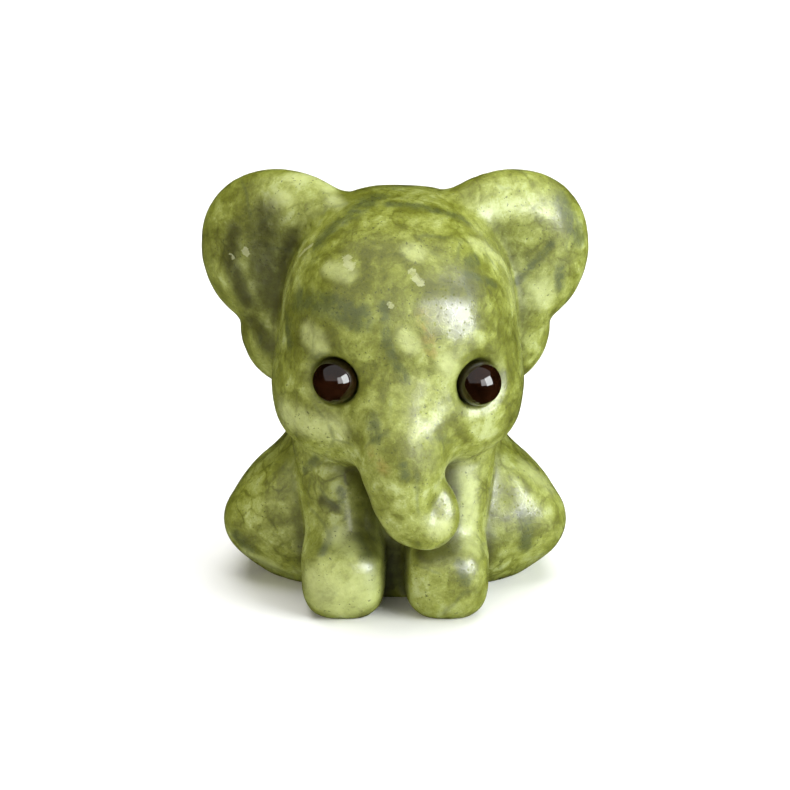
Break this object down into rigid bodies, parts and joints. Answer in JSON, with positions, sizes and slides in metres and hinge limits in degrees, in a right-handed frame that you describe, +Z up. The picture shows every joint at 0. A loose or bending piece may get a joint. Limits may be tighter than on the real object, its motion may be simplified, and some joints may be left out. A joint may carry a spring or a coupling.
{
  "type": "elephant figurine",
  "caption": "Small seated baby elephant carved from one piece of polished green stone, with wide ears, a curled trunk and dark bead eyes, standing as an ornament on its flat underside.",
  "frame": {"origin": "on the ground, in the middle of the figure's box", "axes": "+Z up, -Y the way the figure faces, +X the figure's left side"},
  "size_m": [0.0521, 0.0445, 0.0555],
  "materials": {
    "jade": "polished, mottled yellow-green with grey-green veins",
    "eye_bead": "glossy, nearly black red-brown"
  },
  "bodies": {
    "root": {"elephant_carving": "jade", "right_eye_bead": "eye_bead", "left_eye_bead": "eye_bead"}
  },
  "joints": []
}
